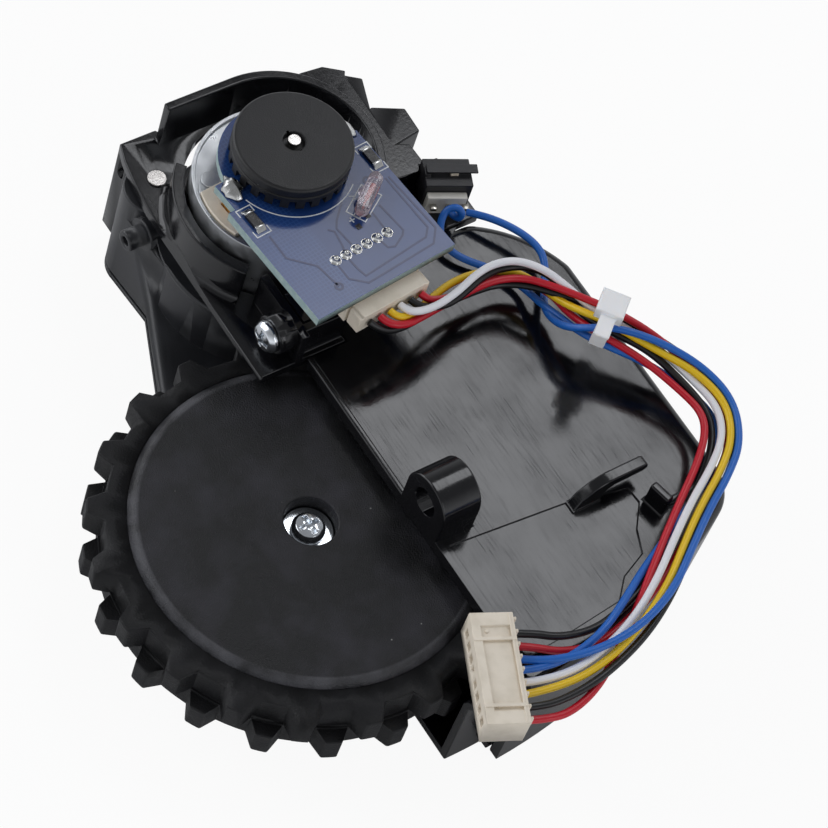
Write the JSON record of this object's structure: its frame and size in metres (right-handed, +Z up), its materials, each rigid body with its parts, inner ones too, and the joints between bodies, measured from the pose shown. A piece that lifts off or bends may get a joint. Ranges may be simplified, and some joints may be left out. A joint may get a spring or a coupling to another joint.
{
  "type": "motorized wheel module",
  "caption": "Sprung drive wheel module: a motor and gear case carry a lugged rubber wheel and swing out of a moulded wheel well, with an encoder board and wired plug.",
  "frame": {"origin": "the wheel's axis at the flat underside of the gear case", "axes": "+Z up along the wheel axis, +X along the mouth of the wheel well away from the swing pivot, +Y into the well"},
  "size_m": [0.1156, 0.0994, 0.0447],
  "materials": {
    "gloss_black_plastic": "glossy black ABS moulding",
    "grey_plastic": "satin dark grey ABS moulding",
    "satin_black_plastic": "fine grained black ABS",
    "drum_plastic": "satin black acetal",
    "switch_plastic": "dark grey moulded switch case",
    "tyre_rubber": "matt moulded rubber",
    "white_nylon": "natural acetal",
    "ivory_nylon": "ivory nylon",
    "clear_nylon": "natural translucent nylon",
    "brass": "turned brass",
    "tinned_brass": "tin plated brass",
    "solder": "solder",
    "steel": "ground steel",
    "zinc_steel": "bright zinc plated steel",
    "spring_steel": "spring wire",
    "motor_steel": "nickel plated deep drawn steel",
    "ferrite": "ferrite and laminated iron",
    "copper_wire": "enamelled copper wire",
    "blue_board": "blue solder mask on fibreglass",
    "chip_ceramic": "small moulded electronic piece",
    "clear_resin": "clear epoxy lens",
    "black_pvc": "black wire insulation",
    "red_pvc": "red wire insulation",
    "yellow_pvc": "yellow wire insulation",
    "white_pvc": "white wire insulation",
    "blue_pvc": "blue wire insulation"
  },
  "bodies": {
    "housing": {"wheel_well_cover": "gloss_black_plastic", "wheel_well_liner": "gloss_black_plastic", "liner_screws": "zinc_steel", "motor_bracket": "gloss_black_plastic", "mounting_screw": "zinc_steel", "pivot_pin": "steel", "arm_spring": "spring_steel", "switch_body": "switch_plastic", "switch_base": "white_nylon", "switch_terminals": "tinned_brass", "black_wire_outer": "black_pvc", "red_wire_outer": "red_pvc", "yellow_wire": "yellow_pvc", "white_wire": "white_pvc", "black_wire_inner": "black_pvc", "red_wire_inner": "red_pvc", "blue_wire_outer": "blue_pvc", "blue_wire_inner": "blue_pvc", "cable_tie": "clear_nylon", "harness_plug": "ivory_nylon", "harness_contacts": "tinned_brass"},
    "switch_lever": {"switch_lever": "switch_plastic"},
    "switch_plunger": {"switch_plunger": "ivory_nylon"},
    "arm": {"gearbox_case": "grey_plastic", "gearbox_cover": "grey_plastic", "gearbox_screws": "zinc_steel", "axle_bush": "brass", "gear_pins": "steel", "motor_can": "motor_steel", "motor_end_cap": "ivory_nylon", "motor_terminals": "brass", "motor_bearing": "brass", "motor_magnets": "ferrite", "encoder_board": "blue_board", "board_header": "ivory_nylon", "header_pins": "tinned_brass", "solder_joints": "solder", "board_plug": "ivory_nylon", "chip_resistors": "chip_ceramic", "encoder_lamp": "clear_resin", "encoder_receiver": "chip_ceramic"},
    "rotor": {"motor_shaft": "steel", "motor_pinion": "brass", "armature_core": "ferrite", "armature_windings": "copper_wire", "commutator": "copper_wire", "encoder_drum": "drum_plastic"},
    "idler_1": {"idler_gear_1": "white_nylon"},
    "idler_2": {"idler_gear_2": "white_nylon"},
    "idler_3": {"idler_gear_3": "white_nylon"},
    "wheel": {"output_gear": "white_nylon", "wheel_axle": "steel", "wheel_hub": "satin_black_plastic", "tyre": "tyre_rubber", "wheel_washer": "zinc_steel", "wheel_screw": "zinc_steel"}
  },
  "joints": [
    {"name": "arm_swing", "type": "hinge", "parent": "housing", "child": "arm", "pos_m": [-0.061, 0.0095, 0], "axis": [0, 0, 1], "range_deg": [0, 20], "stiffness_Nm_per_rad": 0.2, "springref_deg": -20.05},
    {"name": "wheel_spin", "type": "hinge", "parent": "arm", "child": "wheel", "pos_m": [0, 0, 0], "axis": [0, 0, 1], "continuous": true},
    {"name": "idler_3_spin", "type": "hinge", "parent": "arm", "child": "idler_3", "pos_m": [-0.01499, 0.00393, 0], "axis": [0, 0, 1], "continuous": true},
    {"name": "idler_2_spin", "type": "hinge", "parent": "arm", "child": "idler_2", "pos_m": [-0.02457, 0.01482, 0], "axis": [0, 0, 1], "continuous": true},
    {"name": "idler_1_spin", "type": "hinge", "parent": "arm", "child": "idler_1", "pos_m": [-0.03751, 0.01604, 0], "axis": [0, 0, 1], "continuous": true},
    {"name": "motor_spin", "type": "hinge", "parent": "arm", "child": "rotor", "pos_m": [-0.047, 0.0216, 0], "axis": [0, 0, 1], "continuous": true},
    {"name": "switch_lever_press", "type": "hinge", "parent": "housing", "child": "switch_lever", "pos_m": [-0.04134, 0.04602, 0.03012], "axis": [-0.9063, 0.4226, 0], "range_deg": [0, 5], "stiffness_Nm_per_rad": 0.000004, "springref_deg": -11.46},
    {"name": "switch_plunger_press", "type": "slide", "parent": "housing", "child": "switch_plunger", "axis": [0, 0, 1], "range_m": [-0.0005, 0]}
  ],
  "couplings": [
    {"joint": "idler_1_spin", "follows": "motor_spin", "ratio": -0.375},
    {"joint": "idler_2_spin", "follows": "motor_spin", "ratio": 0.13816},
    {"joint": "idler_3_spin", "follows": "motor_spin", "ratio": -0.043959},
    {"joint": "wheel_spin", "follows": "motor_spin", "ratio": 0.012821},
    {"joint": "switch_plunger_press", "follows": "switch_lever_press", "m_per_rad": -0.0044}
  ]
}
